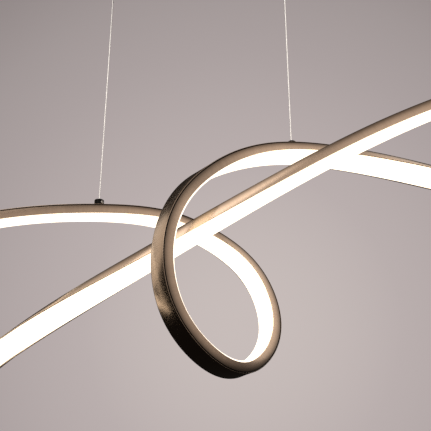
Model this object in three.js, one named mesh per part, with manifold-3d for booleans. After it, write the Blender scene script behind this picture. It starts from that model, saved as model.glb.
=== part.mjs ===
// Suspended LED ribbon light: one bent aluminium channel with a curl in its middle, hung by two
// steel wires from a round ceiling canopy. Millimetres, +Z up, +X along the ribbon.
// The origin is the middle of the canopy's ceiling face, so the whole light hangs below z = 0.
import * as THREE from "three";
import { mergeVertices } from "three/addons/utils/BufferGeometryUtils.js";
import Module from "manifold-3d";

// ---- Driving dimensions ------------------------------------------------------------------

const GAP = 0.3; // clearance between pieces that touch
const RIBBON_LEVEL = -400; // height of the ribbon's centre line at its left hump

// Channel section: a is across the ribbon, b points out of the light face
const CHANNEL_WIDTH = 21.5;
const CHANNEL_DEPTH = 9.8;
const WALL = 1.2;
const FLOOR = 1.4;
const DIFFUSER_PROUD = 1.6;
const DIFFUSER_LEGS = 3.8;
const DIFFUSER_SKIN = 1.2;
const STRIP_WIDTH = 11;
const STRIP_THICKNESS = 1.2;
const STRIP_LIFT = 0.9; // height of the LED strip over the channel's floor
const JOINER_WIDTH = 2.4;
const JOINER_HEIGHT = 3;
const JOINER_LENGTH = 40;
const STEP = 17; // length of one facet along the ribbon
const TWIST_STEP = 10; // the same on the strand, which twists most

// Suspension
const WIRE_RADIUS = 0.6;
const WIRE_SIDES = 8;
const ANCHOR_RADIUS = 4.9;
const ANCHOR_HEIGHT = 6.5;
const ANCHOR_BASE_RADIUS = 5.8;
const ANCHOR_BASE_HEIGHT = 1.4;

// Canopy
const PLATE_RADIUS = 118;
const PLATE_THICKNESS = 2;
const COVER_RADIUS = 130;
const COVER_HEIGHT = 32;
const COVER_SKIN = 1.6;
const COVER_CORNER = 9;
const COVER_HOLE_RADIUS = 8;
const TAB_WIDTH = 14;
const TAB_SKIN = 2.5;
const TAB_DROP = 16;
const COVER_SCREW_LEVEL = -9;
const COVER_SCREW_ANGLES = [90, 210, 330];
const NOZZLE_END = -44; // the wires swing about this height

// The ribbon's closed centre line is a uniform cubic B-spline over these stations. Each one holds
// x, y, the height above RIBBON_LEVEL, and the direction of the ribbon's width there.
const STATIONS = [
  // left hump, where the left wire holds the ribbon
  [-91, 42, 1, 0, 1, 0.1],
  [-37, 52, 0, -0.1, 1, -0.1],
  // down the back of the curl
  [0, 58, -11, -0.3, 0.9, -0.3],
  [61, 59, -52, -0.5, 0.7, -0.5],
  [82, 49, -127, -0.6, 0.7, -0.3],
  [54, 6, -180, -0.7, 0.7, -0.1],
  [23, -48, -194, -0.8, 0.6, 0.1],
  // up the front of the curl
  [-14, -89, -166, -0.6, 0.8, 0.1],
  [-25, -98, -113, -0.5, 0.9, 0.1],
  [-16, -81, -57, -0.5, 0.8, 0.1],
  [10, -59, -10, -0.7, 0.6, 0],
  // over the top of the curl, where the right wire holds the ribbon
  [69, -40, 23, -0.3, 1, -0.2],
  [140, -32, 20, -0.2, 0.9, -0.4],
  [227, -28, 0, -0.2, 0.7, -0.7],
  // right lobe, first its lower run, then its end and its upper run
  [312, -17, -21, -0.1, 0.3, -0.9],
  [390, 2, -45, 0, -0.2, -1],
  [470, 18, -47, 0.2, -0.7, -0.7],
  [528, 18, 0, 0.2, -0.9, -0.3],
  [524, 0, 67, 0.1, -1, -0.1],
  [456, -30, 110, 0.1, -1, -0.1],
  [367, -56, 107, 0.1, -1, -0.1],
  // straight strand through the curl
  [268, -75, 67, 0.1, -1, -0.1],
  [163, -81, 16, 0, -1, 0.1],
  [57, -64, -40, 0.2, -1, 0.2],
  [-49, -22, -89, -0.4, -0.9, 0.2],
  [-158, -4, -152, -0.6, -0.4, 0.7],
  [-248, 14, -227, -0.6, 0.2, 0.8],
  // left lobe, first its lower run, then its end and its upper run
  [-324, 51, -290, 0, 0.8, 0.6],
  [-408, 75, -313, 0.1, 1, 0.1],
  [-484, 95, -275, 0.1, 1, 0],
  [-513, 110, -195, 0, 1, 0],
  [-480, 108, -110, 0, 1, 0],
  [-403, 86, -55, 0, 1, 0.1],
  [-303, 60, -24, 0, 1, 0.1],
  [-189, 41, -3, 0, 1, 0.1],
];

// Joints between the four bent channel pieces, and the two wire anchors, as places along STATIONS
const SEAMS = { left_top: 33.5, right_bottom: 14.5, right_top: 20.6, left_bottom: 26.7 };
const ANCHOR_PLACES = { left: 0.03, right: 11.36 };

// ---- Materials -----------------------------------------------------------------------------

const finish = (color, roughness, metalness, extra = {}) =>
  new THREE.MeshStandardMaterial({ color, roughness, metalness, ...extra });

const MATERIALS = {
  bronze: finish(0x7a6857, 0.4, 0.9),
  diffuser: finish(0xfff6e4, 0.5, 0, { emissive: 0xffe9c4 }),
  circuit: finish(0xf2f0ea, 0.6, 0),
  steel: finish(0xb8b8b6, 0.35, 1),
  wire: finish(0xc9c8c4, 0.3, 1),
  black: finish(0x1b1a19, 0.45, 0),
  brass: finish(0xc2a35a, 0.35, 1),
  white: finish(0xe9e7e2, 0.5, 0),
};

// ---- Solids --------------------------------------------------------------------------------

const wasm = await Module();
wasm.setup();

// A geometry with shared vertices, its faces turned outwards
function closedGeometry(positions, indices) {
  const corner = (i) => new THREE.Vector3().fromArray(positions, 3 * i);
  let volume = 0;
  for (let i = 0; i < indices.length; i += 3) {
    const [p, q, r] = [corner(indices[i]), corner(indices[i + 1]), corner(indices[i + 2])];
    volume += p.dot(q.cross(r));
  }
  if (volume < 0) indices.reverse();
  const geometry = new THREE.BufferGeometry();
  geometry.setAttribute("position", new THREE.Float32BufferAttribute(positions, 3));
  geometry.setIndex(indices);
  return geometry;
}

function toSolid(geometry) {
  const bare = geometry.clone();
  bare.deleteAttribute("normal");
  bare.deleteAttribute("uv");
  const merged = mergeVertices(bare, 1e-4);
  const vertProperties = new Float32Array(merged.attributes.position.array);
  const triVerts = new Uint32Array(merged.index.array);
  return new wasm.Manifold(new wasm.Mesh({ numProp: 3, vertProperties, triVerts }));
}

function fromSolid(solid) {
  const mesh = solid.getMesh();
  return closedGeometry(Array.from(mesh.vertProperties), Array.from(mesh.triVerts));
}

// The first geometry, with some joined to it and others cut out of it
function combine(first, joined, cut) {
  let solid = toSolid(first);
  for (const geometry of joined) solid = solid.add(toSolid(geometry));
  for (const geometry of cut) solid = solid.subtract(toSolid(geometry));
  return fromSolid(solid);
}

function box(x0, x1, y0, y1, z0, z1) {
  const geometry = new THREE.BoxGeometry(x1 - x0, y1 - y0, z1 - z0);
  return geometry.translate((x0 + x1) / 2, (y0 + y1) / 2, (z0 + z1) / 2);
}

// A turned piece about the vertical axis through (x, y), from [radius, height] points
function turned(profile, sides, x = 0, y = 0) {
  const geometry = new THREE.LatheGeometry(profile.map(([r, z]) => new THREE.Vector2(r, z)), sides);
  const merged = mergeVertices(stripped(geometry.rotateX(Math.PI / 2)), 1e-4);
  const solid = closedGeometry(Array.from(merged.attributes.position.array), wholeFaces(merged));
  return solid.translate(x, y, 0);
}

function stripped(geometry) {
  geometry.deleteAttribute("normal");
  geometry.deleteAttribute("uv");
  return geometry;
}

// Drops the faces that shrink to a line where a profile meets its axis
function wholeFaces(geometry) {
  const index = Array.from(geometry.index.array);
  const kept = [];
  for (let i = 0; i < index.length; i += 3) {
    const [p, q, r] = index.slice(i, i + 3);
    if (p !== q && q !== r && r !== p) kept.push(p, q, r);
  }
  return kept;
}

const rod = (radius, z0, z1, sides, x = 0, y = 0) =>
  turned([[0, z0], [radius, z0], [radius, z1], [0, z1]], sides, x, y);

const tube = (inner, outer, z0, z1, sides, x = 0, y = 0) =>
  turned([[inner, z0], [outer, z0], [outer, z1], [inner, z1], [inner, z0]], sides, x, y);

// A round bar along a curve, closed at both ends
function bar(curve, radius, sides, steps) {
  const section = new THREE.Shape();
  section.absarc(0, 0, radius, 0, 2 * Math.PI);
  return new THREE.ExtrudeGeometry(section, {
    steps,
    curveSegments: sides / 2,
    bevelEnabled: false,
    extrudePath: curve,
  });
}

// ---- The ribbon's centre line ----------------------------------------------------------------

const SAMPLES_PER_STATION = 40;

// Centre line, run and width direction at a place along STATIONS
function stationFrame(place) {
  const count = STATIONS.length;
  const first = Math.floor(place);
  const s = place - first;
  const weights = [(1 - s) ** 3, 3 * s ** 3 - 6 * s ** 2 + 4, -3 * s ** 3 + 3 * s ** 2 + 3 * s + 1, s ** 3];
  const slopes = [-((1 - s) ** 2), 3 * s ** 2 - 4 * s, -3 * s ** 2 + 2 * s + 1, s ** 2];
  const at = new THREE.Vector3();
  const run = new THREE.Vector3();
  const width = new THREE.Vector3();
  for (let k = 0; k < 4; k += 1) {
    const [x, y, z, wx, wy, wz] = STATIONS[(first - 1 + k + 2 * count) % count];
    at.addScaledVector(new THREE.Vector3(x, y, z + RIBBON_LEVEL), weights[k] / 6);
    run.addScaledVector(new THREE.Vector3(x, y, z), slopes[k] / 2);
    width.addScaledVector(new THREE.Vector3(wx, wy, wz), weights[k] / 6);
  }
  run.normalize();
  width.addScaledVector(run, -width.dot(run)).normalize();
  const light = new THREE.Vector3().crossVectors(width, run);
  return { at, run, width, light };
}

// Places between two seams, in steps of about the same length
function evenPlaces(from, to, step) {
  const end = to > from ? to : to + STATIONS.length;
  const count = Math.ceil((end - from) * SAMPLES_PER_STATION);
  const places = [];
  const lengths = [0];
  for (let i = 0; i <= count; i += 1) {
    places.push(from + ((end - from) * i) / count);
    if (i) {
      const before = stationFrame(places[i - 1]).at;
      lengths.push(lengths[i - 1] + before.distanceTo(stationFrame(places[i]).at));
    }
  }
  const total = lengths[count];
  const facets = Math.max(1, Math.round(total / step));
  const even = [];
  let i = 0;
  for (let k = 0; k <= facets; k += 1) {
    const wanted = (total * k) / facets;
    while (i < count - 1 && lengths[i + 1] < wanted) i += 1;
    const share = (wanted - lengths[i]) / (lengths[i + 1] - lengths[i]);
    even.push(places[i] + share * (places[i + 1] - places[i]));
  }
  return { even, total };
}

// Moves a place along the line by a length
function shifted(place, length) {
  const reach = 0.01;
  const here = stationFrame(place).at;
  const speed = here.distanceTo(stationFrame(place + reach).at) / reach;
  return place + length / speed;
}

// A closed bar whose section, a list of [a, b] points, follows the ribbon between two places
function ribbonPiece(section, from, to, step) {
  const { even } = evenPlaces(from, to, step);
  const outline = section.map(([a, b]) => new THREE.Vector2(a, b));
  if (THREE.ShapeUtils.isClockWise(outline)) outline.reverse();
  const positions = [];
  for (const place of even) {
    const { at, width, light } = stationFrame(place);
    for (const { x: a, y: b } of outline) {
      positions.push(...at.clone().addScaledVector(width, a).addScaledVector(light, b).toArray());
    }
  }
  const n = outline.length;
  const indices = [];
  for (let ring = 0; ring < even.length - 1; ring += 1) {
    for (let k = 0; k < n; k += 1) {
      const p = ring * n + k;
      const q = ring * n + ((k + 1) % n);
      indices.push(p, q, q + n, p, q + n, p + n);
    }
  }
  const last = (even.length - 1) * n;
  for (const [p, q, r] of THREE.ShapeUtils.triangulateShape(outline, [])) {
    indices.push(q, p, r, last + p, last + q, last + r);
  }
  return closedGeometry(positions, indices);
}

// A U from its broad wall, between b = outer and b = inner, to the ends of its legs. Broad walls
// have a point at their middle, so that nested pieces keep their gap where the ribbon twists.
function hoopSection(halfWidth, outer, inner, legEnd, skin) {
  return [
    [-halfWidth, legEnd],
    [-halfWidth, outer],
    [0, outer],
    [halfWidth, outer],
    [halfWidth, legEnd],
    [halfWidth - skin, legEnd],
    [halfWidth - skin, inner],
    [0, inner],
    [-halfWidth + skin, inner],
    [-halfWidth + skin, legEnd],
  ];
}

const barSection = (a0, a1, b0, b1) => [[a0, b0], [a1, b0], [a1, b1], [a0, b1]];

const HALF_WIDTH = CHANNEL_WIDTH / 2;
const BACK = -CHANNEL_DEPTH / 2;
const RIM = CHANNEL_DEPTH / 2;
const BED = BACK + FLOOR;
const FACE = RIM + DIFFUSER_PROUD;
const INSIDE = HALF_WIDTH - WALL - GAP;
const CHANNEL_SECTION = hoopSection(HALF_WIDTH, BACK, BED, RIM, WALL);
const DIFFUSER_SECTION = hoopSection(INSIDE, FACE, FACE - DIFFUSER_SKIN, RIM - DIFFUSER_LEGS, DIFFUSER_SKIN);
const STRIP_SECTION = barSection(
  -STRIP_WIDTH / 2, STRIP_WIDTH / 2, BED + STRIP_LIFT, BED + STRIP_LIFT + STRIP_THICKNESS);

// ---- Assembly --------------------------------------------------------------------------------

const light = new THREE.Group();

function add(name, geometry, material) {
  const mesh = new THREE.Mesh(geometry, MATERIALS[material]);
  mesh.name = name;
  light.add(mesh);
  return mesh;
}

function addRibbon() {
  const runs = {
    curl: ["left_top", "right_bottom", STEP],
    right_lobe: ["right_bottom", "right_top", STEP],
    strand: ["right_top", "left_bottom", TWIST_STEP],
    left_lobe: ["left_bottom", "left_top", TWIST_STEP],
  };
  for (const [run, [start, end, step]] of Object.entries(runs)) {
    const from = shifted(SEAMS[start], GAP / 2);
    const to = shifted(SEAMS[end], -GAP / 2);
    add(`channel_${run}`, ribbonPiece(CHANNEL_SECTION, from, to, step), "bronze");
    add(`diffuser_${run}`, ribbonPiece(DIFFUSER_SECTION, from, to, step), "diffuser");
    add(`led_strip_${run}`, ribbonPiece(STRIP_SECTION, from, to, step), "circuit");
  }
}

// Two bars inside the channel bridge each seam, one against each side wall
function addJoiners() {
  const low = BED + GAP;
  for (const [seam, place] of Object.entries(SEAMS)) {
    const from = shifted(place, -JOINER_LENGTH / 2);
    const to = shifted(place, JOINER_LENGTH / 2);
    const one = barSection(-INSIDE, -INSIDE + JOINER_WIDTH, low, low + JOINER_HEIGHT);
    const two = barSection(INSIDE - JOINER_WIDTH, INSIDE, low, low + JOINER_HEIGHT);
    add(`joiner_${seam}_1`, ribbonPiece(one, from, to, TWIST_STEP), "steel");
    add(`joiner_${seam}_2`, ribbonPiece(two, from, to, TWIST_STEP), "steel");
  }
}

// A group whose z axis stands on the channel's back, at its middle
function onBack(place) {
  const { at, width, light: facing } = stationFrame(place);
  const up = facing.clone().negate();
  const group = new THREE.Group();
  const across = new THREE.Vector3().crossVectors(width, up);
  group.quaternion.setFromRotationMatrix(new THREE.Matrix4().makeBasis(across, width, up));
  group.position.copy(at).addScaledVector(up, -BACK);
  return group;
}

// Insulated gripper on the ribbon: base, barrel with a side screw, and a contact tab inside
function addAnchor(side) {
  const group = onBack(ANCHOR_PLACES[side]);
  const screwLevel = GAP + ANCHOR_BASE_HEIGHT + ANCHOR_HEIGHT / 2;
  const low = GAP + ANCHOR_BASE_HEIGHT + GAP;
  const high = low + ANCHOR_HEIGHT;
  const screwBore = rod(1.9, 0, ANCHOR_RADIUS + 2, 12).rotateX(Math.PI / 2).translate(0, 0, screwLevel);
  const barrel = turned(
    [[1.2, low], [ANCHOR_RADIUS, low], [ANCHOR_RADIUS, high - 0.8], [ANCHOR_RADIUS - 0.8, high],
      [1.2, high], [1.2, low]], 14);
  const screw = rod(1.5, WIRE_RADIUS + 1, ANCHOR_RADIUS + 0.6, 10).rotateX(Math.PI / 2);
  const pieces = {
    base: [rod(ANCHOR_BASE_RADIUS, GAP, GAP + ANCHOR_BASE_HEIGHT, 16), "black"],
    barrel: [combine(barrel, [], [screwBore]), "black"],
    set_screw: [screw.translate(0, 0, screwLevel), "steel"],
  };
  for (const [piece, [geometry, material]] of Object.entries(pieces)) {
    group.add(add(`anchor_${side}_${piece}`, geometry, material));
  }
  light.add(group);
  group.updateMatrixWorld(true);
  return new THREE.Vector3(0, 0, high + GAP).applyMatrix4(group.matrixWorld);
}

// A straight wire from the anchor up into the nozzle of the adjuster above it
function addWire(side, foot) {
  const top = NOZZLE_END + 8;
  add(`wire_${side}`, rod(WIRE_RADIUS, foot.z, top, WIRE_SIDES, foot.x, foot.y), "wire");
}

// Spring-loaded cable gripper under the plate, round the wire's line
const STUD_RADIUS = 3;
const STUD_END = -11;
const ADJUSTER = { top: -4.1, shoulder: -6.5, end: -36, radius: 6, flange: 9, lip: 3.1, chamber: 4.3 };

function addAdjuster(side, x, y) {
  const { top, shoulder, end, radius, flange, lip, chamber } = ADJUSTER;
  const chamberTop = STUD_END - 3;
  const lipTop = end + 3;
  const body = turned(
    [[STUD_RADIUS + GAP, top], [flange, top], [flange, shoulder], [radius, shoulder], [radius, end + 0.8],
      [radius - 0.8, end], [lip, end], [lip, lipTop], [chamber, lipTop], [chamber, chamberTop],
      [STUD_RADIUS + GAP, chamberTop], [STUD_RADIUS + GAP, top]], 14, x, y);
  const stem = lip - GAP;
  const head = chamber - GAP;
  const headLow = lipTop + GAP;
  const headHigh = headLow + 2;
  const bore = 2;
  const plunger = turned(
    [[bore, NOZZLE_END], [stem - 0.5, NOZZLE_END], [stem, NOZZLE_END + 0.5], [stem, headLow],
      [head, headLow], [head, headHigh], [bore, headHigh], [bore, NOZZLE_END]], 14, x, y);
  const insulatorTop = -PLATE_THICKNESS - GAP;
  add(`adjuster_${side}_insulator`, tube(STUD_RADIUS + GAP, flange, top + GAP, insulatorTop, 14, x, y), "black");
  add(`adjuster_${side}_body`, body, "steel");
  add(`adjuster_${side}_plunger`, plunger, "steel");
  add(`adjuster_${side}_spring`, spring(x, y, headHigh + 0.8, chamberTop - 0.8), "steel");
}

function spring(x, y, z0, z1) {
  const turns = 5;
  const stepsPerTurn = 6;
  const coilRadius = 3.2;
  const wireRadius = 0.35;
  const points = [];
  for (let i = 0; i <= turns * stepsPerTurn; i += 1) {
    const angle = (2 * Math.PI * i) / stepsPerTurn;
    const z = z0 + ((z1 - z0) * i) / (turns * stepsPerTurn);
    points.push(new THREE.Vector3(x + coilRadius * Math.cos(angle), y + coilRadius * Math.sin(angle), z));
  }
  return bar(new THREE.CatmullRomCurve3(points), wireRadius, 4, turns * stepsPerTurn);
}

// Ceiling plate: a disc with a threaded stud for each adjuster, three tabs for the cover screws,
// two holes for the ceiling screws and a hole for the mains cable's grommet
const FIXING_HOLE = { x: 70, y: 55, radius: 2.6 };
const GROMMET = { x: -30, y: 64, hole: 9, bore: 4 };

function addPlate(exits) {
  const joined = [];
  const cut = [];
  for (const { x, y } of exits) {
    joined.push(rod(STUD_RADIUS, STUD_END, -PLATE_THICKNESS / 2, 16, x, y));
  }
  const tabOuter = COVER_RADIUS - COVER_SKIN - GAP - 0.6;
  for (const degrees of COVER_SCREW_ANGLES) {
    const turn = THREE.MathUtils.degToRad(degrees);
    const half = TAB_WIDTH / 2;
    joined.push(box(PLATE_RADIUS - 8, tabOuter, -half, half, -PLATE_THICKNESS, 0).rotateZ(turn));
    joined.push(box(tabOuter - TAB_SKIN, tabOuter, -half, half, -TAB_DROP, 0).rotateZ(turn));
    cut.push(rod(2.3, PLATE_RADIUS - 10, COVER_RADIUS, 12).rotateY(Math.PI / 2)
      .translate(0, 0, COVER_SCREW_LEVEL).rotateZ(turn));
  }
  for (const sign of [-1, 1]) {
    cut.push(rod(FIXING_HOLE.radius, -5, 5, 12, sign * FIXING_HOLE.x, sign * FIXING_HOLE.y));
  }
  cut.push(rod(GROMMET.hole, -5, 5, 16, GROMMET.x, GROMMET.y));
  add("ceiling_plate", combine(rod(PLATE_RADIUS, -PLATE_THICKNESS, 0, 36), joined, cut), "steel");
  const { x, y, hole, bore } = GROMMET;
  add("mains_grommet", turned(
    [[bore, -0.4], [hole - GAP, -0.4], [hole - GAP, -2.3], [hole + 2, -2.3], [hole + 2, -4.5],
      [bore + 1, -4.5], [bore, -3.5], [bore, -0.4]], 14, x, y), "black");
}

// Spun cover with an open top, slotted at its rim for the cover screws
function addCover(exits) {
  const R = COVER_RADIUS;
  const bottom = -COVER_HEIGHT;
  const rim = -0.6;
  const corner = (radius, centre, from, to, steps) => {
    const arc = [];
    for (let i = 0; i <= steps; i += 1) {
      const angle = from + ((to - from) * i) / steps;
      arc.push([centre[0] + radius * Math.cos(angle), centre[1] + radius * Math.sin(angle)]);
    }
    return arc;
  };
  const centre = [R - COVER_CORNER, bottom + COVER_CORNER];
  const profile = [
    [0, bottom],
    ...corner(COVER_CORNER, centre, -Math.PI / 2, 0, 3),
    [R, rim],
    [R - COVER_SKIN, rim],
    ...corner(COVER_CORNER - COVER_SKIN, centre, 0, -Math.PI / 2, 3),
    [0, bottom + COVER_SKIN],
  ];
  const cut = exits.map(({ x, y }) => rod(COVER_HOLE_RADIUS, bottom - 5, bottom + 5, 20, x, y));
  for (const degrees of COVER_SCREW_ANGLES) {
    const turn = THREE.MathUtils.degToRad(degrees);
    cut.push(box(R - 5, R + 5, -2.6, 2.6, COVER_SCREW_LEVEL - 2.6, 5).rotateZ(turn));
    const shank = rod(2, R - COVER_SKIN - 12, R + GAP, 12);
    const head = rod(5, R + GAP, R + 6, 16);
    const screw = combine(shank, [head.translate(0, 0, -0.01)], []);
    screw.rotateY(Math.PI / 2).translate(0, 0, COVER_SCREW_LEVEL).rotateZ(turn);
    add(`cover_screw_${degrees}`, screw, "steel");
  }
  add("canopy_cover", combine(turned(profile, 36), [], cut), "bronze");
}

// LED driver, its lid and its two screws, under the middle of the plate
const DRIVER = { halfLength: 60, halfWidth: 21, top: -2.3, bottom: -24, lid: 1.2 };

function addDriver() {
  const { halfLength, halfWidth, top, bottom, lid } = DRIVER;
  const ear = halfLength + 9;
  const wall = 2;
  const caseBottom = bottom + lid + GAP;
  const shell = box(-halfLength, halfLength, -halfWidth, halfWidth, caseBottom, top);
  const ears = [
    box(-ear, -halfLength + 1, -7, 7, top - 2.5, top),
    box(halfLength - 1, ear, -7, 7, top - 2.5, top),
  ];
  const hollow = box(
    -halfLength + wall, halfLength - wall, -halfWidth + wall, halfWidth - wall, caseBottom - 1, top - wall);
  const holes = [-1, 1].map((s) => rod(1.9, top - 5, top + 2, 12, s * (halfLength + 4.5), 0));
  add("driver_case", combine(shell, ears, [hollow, ...holes]), "white");
  add("driver_lid", box(-halfLength, halfLength, -halfWidth, halfWidth, bottom, bottom + lid), "white");
  const board = box(
    -halfLength + wall + 3, halfLength - wall - 3, -halfWidth + wall + 1, halfWidth - wall - 1, -12, -10.4);
  const parts = [
    box(-48, -30, -12, 12, -20, -11),
    box(-20, 4, -14, 10, -19, -11),
    box(20, 30, -10, 10, -17, -11),
    rod(6, -21, -11, 12, 42, 6),
  ];
  add("driver_board", combine(board, parts, []), "circuit");
  for (const [name, sign] of [["driver_screw_1", -1], ["driver_screw_2", 1]]) {
    const x = sign * (halfLength + 4.5);
    const head = rod(3.4, top - 2.5 - GAP - 2, top - 2.5 - GAP, 12, x, 0);
    const shank = rod(1.5, top - 2.5 - GAP - 1, top - GAP / 2, 12, x, 0);
    add(name, combine(head, [shank], []), "steel");
  }
}

// Three-way mains terminal block with one clamp screw for each way
const TERMINAL = { x: 22, y: 64, halfLength: 18, halfWidth: 9, top: -2.3, bottom: -16 };

function addTerminal() {
  const { x, y, halfLength, halfWidth, top, bottom } = TERMINAL;
  const body = box(x - halfLength, x + halfLength, y - halfWidth, y + halfWidth, bottom, top);
  const cut = [];
  for (const way of [-1, 0, 1]) {
    const wayX = x + 11 * way;
    cut.push(rod(2.6, bottom - 1, bottom + 5, 12, wayX, y));
    cut.push(box(wayX - 2.5, wayX + 2.5, y - halfWidth - 1, y + halfWidth + 1, -11, -6));
    add(`terminal_screw_${way + 2}`, rod(2.2, bottom + 0.5, bottom + 4.5, 12, wayX, y), "brass");
  }
  add("terminal_block", combine(body, [], cut), "white");
}

function addLead(name, points) {
  const curve = new THREE.CatmullRomCurve3(points.map((p) => new THREE.Vector3(...p)), false, "centripetal");
  add(name, bar(curve, 1.1, 6, 14), name.startsWith("mains") ? "white" : "black");
}

// Mains leads from the terminal block to the driver, low-voltage leads on to the two grippers
function addLeads(exits) {
  const { x, y, halfWidth } = TERMINAL;
  const side = DRIVER.halfWidth;
  for (const [name, way] of [["mains_lead_live", 1], ["mains_lead_neutral", -1]]) {
    const wayX = x + 11 * way;
    addLead(name, [[wayX, y - halfWidth - GAP, -8.5], [wayX, y - halfWidth - 8, -8.5],
      [wayX + 4, side + 16, -9], [wayX + 6, side + 8, -9], [wayX + 6, side + GAP, -9]]);
  }
  const [left, right] = exits;
  const reach = ADJUSTER.flange;
  const end = DRIVER.halfLength;
  addLead("low_voltage_lead_left", [[-end + 8, side + GAP, -9], [-end + 8, side + 8, -9],
    [-end - 6, side + 14, -7], [left.x + reach + 8, left.y, -5.3], [left.x + reach + GAP, left.y, -5.3]]);
  addLead("low_voltage_lead_right", [[end - 8, -side - GAP, -9], [end - 8, -side - 8, -9],
    [end + 6, -side - 14, -7], [right.x - reach - 8, right.y, -5.3], [right.x - reach - GAP, right.y, -5.3]]);
}

addRibbon();
addJoiners();
const feet = { left: addAnchor("left"), right: addAnchor("right") };
const exits = [feet.left, feet.right];
addWire("left", feet.left);
addWire("right", feet.right);
addPlate(exits);
addAdjuster("left", feet.left.x, feet.left.y);
addAdjuster("right", feet.right.x, feet.right.y);
addCover(exits);
addDriver();
addTerminal();
addLeads(exits);

export default light;
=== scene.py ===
"""Looks of a suspended LED ribbon light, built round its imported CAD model.

One bent bronze channel with a glowing opal diffuser makes a curl and two lobes. Two stranded wires
hold it under a round canopy, which hides the driver, the terminal block and the wire grippers.
Blender works in metres in the CAD's frame: +Z up, the origin in the middle of the ceiling face.
"""

import math

import bmesh
import bpy
import numpy as np
from mathutils import Matrix, Vector


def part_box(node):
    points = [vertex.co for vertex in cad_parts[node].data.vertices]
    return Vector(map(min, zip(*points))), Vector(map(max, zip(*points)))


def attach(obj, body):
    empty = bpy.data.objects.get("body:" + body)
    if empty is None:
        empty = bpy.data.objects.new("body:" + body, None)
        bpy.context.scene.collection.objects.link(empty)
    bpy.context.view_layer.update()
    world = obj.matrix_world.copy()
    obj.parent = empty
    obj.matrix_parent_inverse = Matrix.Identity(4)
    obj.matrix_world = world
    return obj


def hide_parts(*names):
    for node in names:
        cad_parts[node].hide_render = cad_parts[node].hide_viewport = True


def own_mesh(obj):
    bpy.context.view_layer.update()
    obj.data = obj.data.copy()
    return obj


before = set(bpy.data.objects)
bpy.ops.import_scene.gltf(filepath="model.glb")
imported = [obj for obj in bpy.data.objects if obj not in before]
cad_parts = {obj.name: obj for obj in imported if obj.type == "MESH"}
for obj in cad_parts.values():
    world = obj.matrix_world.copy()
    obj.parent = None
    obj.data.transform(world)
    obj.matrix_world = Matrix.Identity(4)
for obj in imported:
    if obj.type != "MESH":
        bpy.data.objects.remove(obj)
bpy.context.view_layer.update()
MM = 0.001

# ---- Camera ----

CAMERA_AIM = Vector((0.022, 0.050, -0.400))
CAMERA_DISTANCE = 0.9
CAMERA_PITCH = math.radians(27.5)  # it looks up at the ribbon from in front
CAMERA_LENS = 73.9
CAMERA_NEAR = 0.02


def add_object(name, data):
    made = bpy.data.objects.new(name, data)
    bpy.context.scene.collection.objects.link(made)
    return made


def add_camera():
    camera = add_object("camera", bpy.data.cameras.new("camera"))
    back = Vector((0, -math.cos(CAMERA_PITCH), -math.sin(CAMERA_PITCH)))
    camera.location = CAMERA_AIM + back * CAMERA_DISTANCE
    camera.rotation_euler = (math.pi / 2 + CAMERA_PITCH, 0, 0)
    camera.data.lens = CAMERA_LENS
    camera.data.clip_start = CAMERA_NEAR
    bpy.context.scene.camera = camera


# ---- Shapes ----
# A shape is its points in metres, its faces, and a uv for each corner of each face. All the
# functions that make one take millimetres, except swept, which takes metres.


def polar(radius, angle):
    """The x and y of a point on a circle."""
    return radius * math.cos(angle), radius * math.sin(angle)


def joined(*shapes):
    """Several shapes as one, each still its own closed body."""
    points, faces, uvs = [], [], []
    for more_points, more_faces, more_uvs in shapes:
        start = len(points)
        points += list(more_points)
        faces += [[start + i for i in face] for face in more_faces]
        uvs += list(more_uvs)
    return points, faces, uvs


def placed(shape, matrix):
    points, faces, uvs = shape
    return [tuple(matrix @ Vector(p)) for p in points], faces, uvs


def moved(x, y, z=0.0):
    """A shift by millimetres."""
    return Matrix.Translation((x * MM, y * MM, z * MM))


def frame_of(x_axis, y_axis, z_axis, at):
    """The axes of a small part, and its place in millimetres."""
    stand = Matrix((x_axis, y_axis, z_axis)).transposed().to_4x4()
    stand.translation = Vector(at * MM)
    return stand


def swept(section, at, across, out, lengths):
    """A closed bar: section is a list of (a, b), carried along the rows of at, across and out.

    Its uv is the length along the bar and the way round it from the middle of the section's outline.
    """
    section = np.array(section)
    sides, rings = len(section), len(at)
    a, b = section[:, 0], section[:, 1]
    points = at[:, None] + across[:, None] * a[:, None] + out[:, None] * b[:, None]
    edges = np.linalg.norm(np.roll(section, -1, 0) - section, axis=1)
    around = np.concatenate([[0], np.cumsum(edges)])
    around -= around[-2] / 2
    faces, uvs = [], []
    for ring in range(rings - 1):
        u0, u1 = lengths[ring], lengths[ring + 1]
        for k in range(sides):
            p, q = ring * sides + k, ring * sides + (k + 1) % sides
            faces.append([p, q, q + sides, p + sides])
            v0, v1 = around[k], around[k + 1]
            uvs.append([(u0, v0), (u0, v1), (u1, v1), (u1, v0)])
    last = (rings - 1) * sides
    end = [tuple(p) for p in section]
    faces += [list(range(sides))[::-1], [last + k for k in range(sides)]]
    uvs += [end[::-1], end]
    return [tuple(p) for p in points.reshape(-1, 3)], faces, uvs


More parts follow.
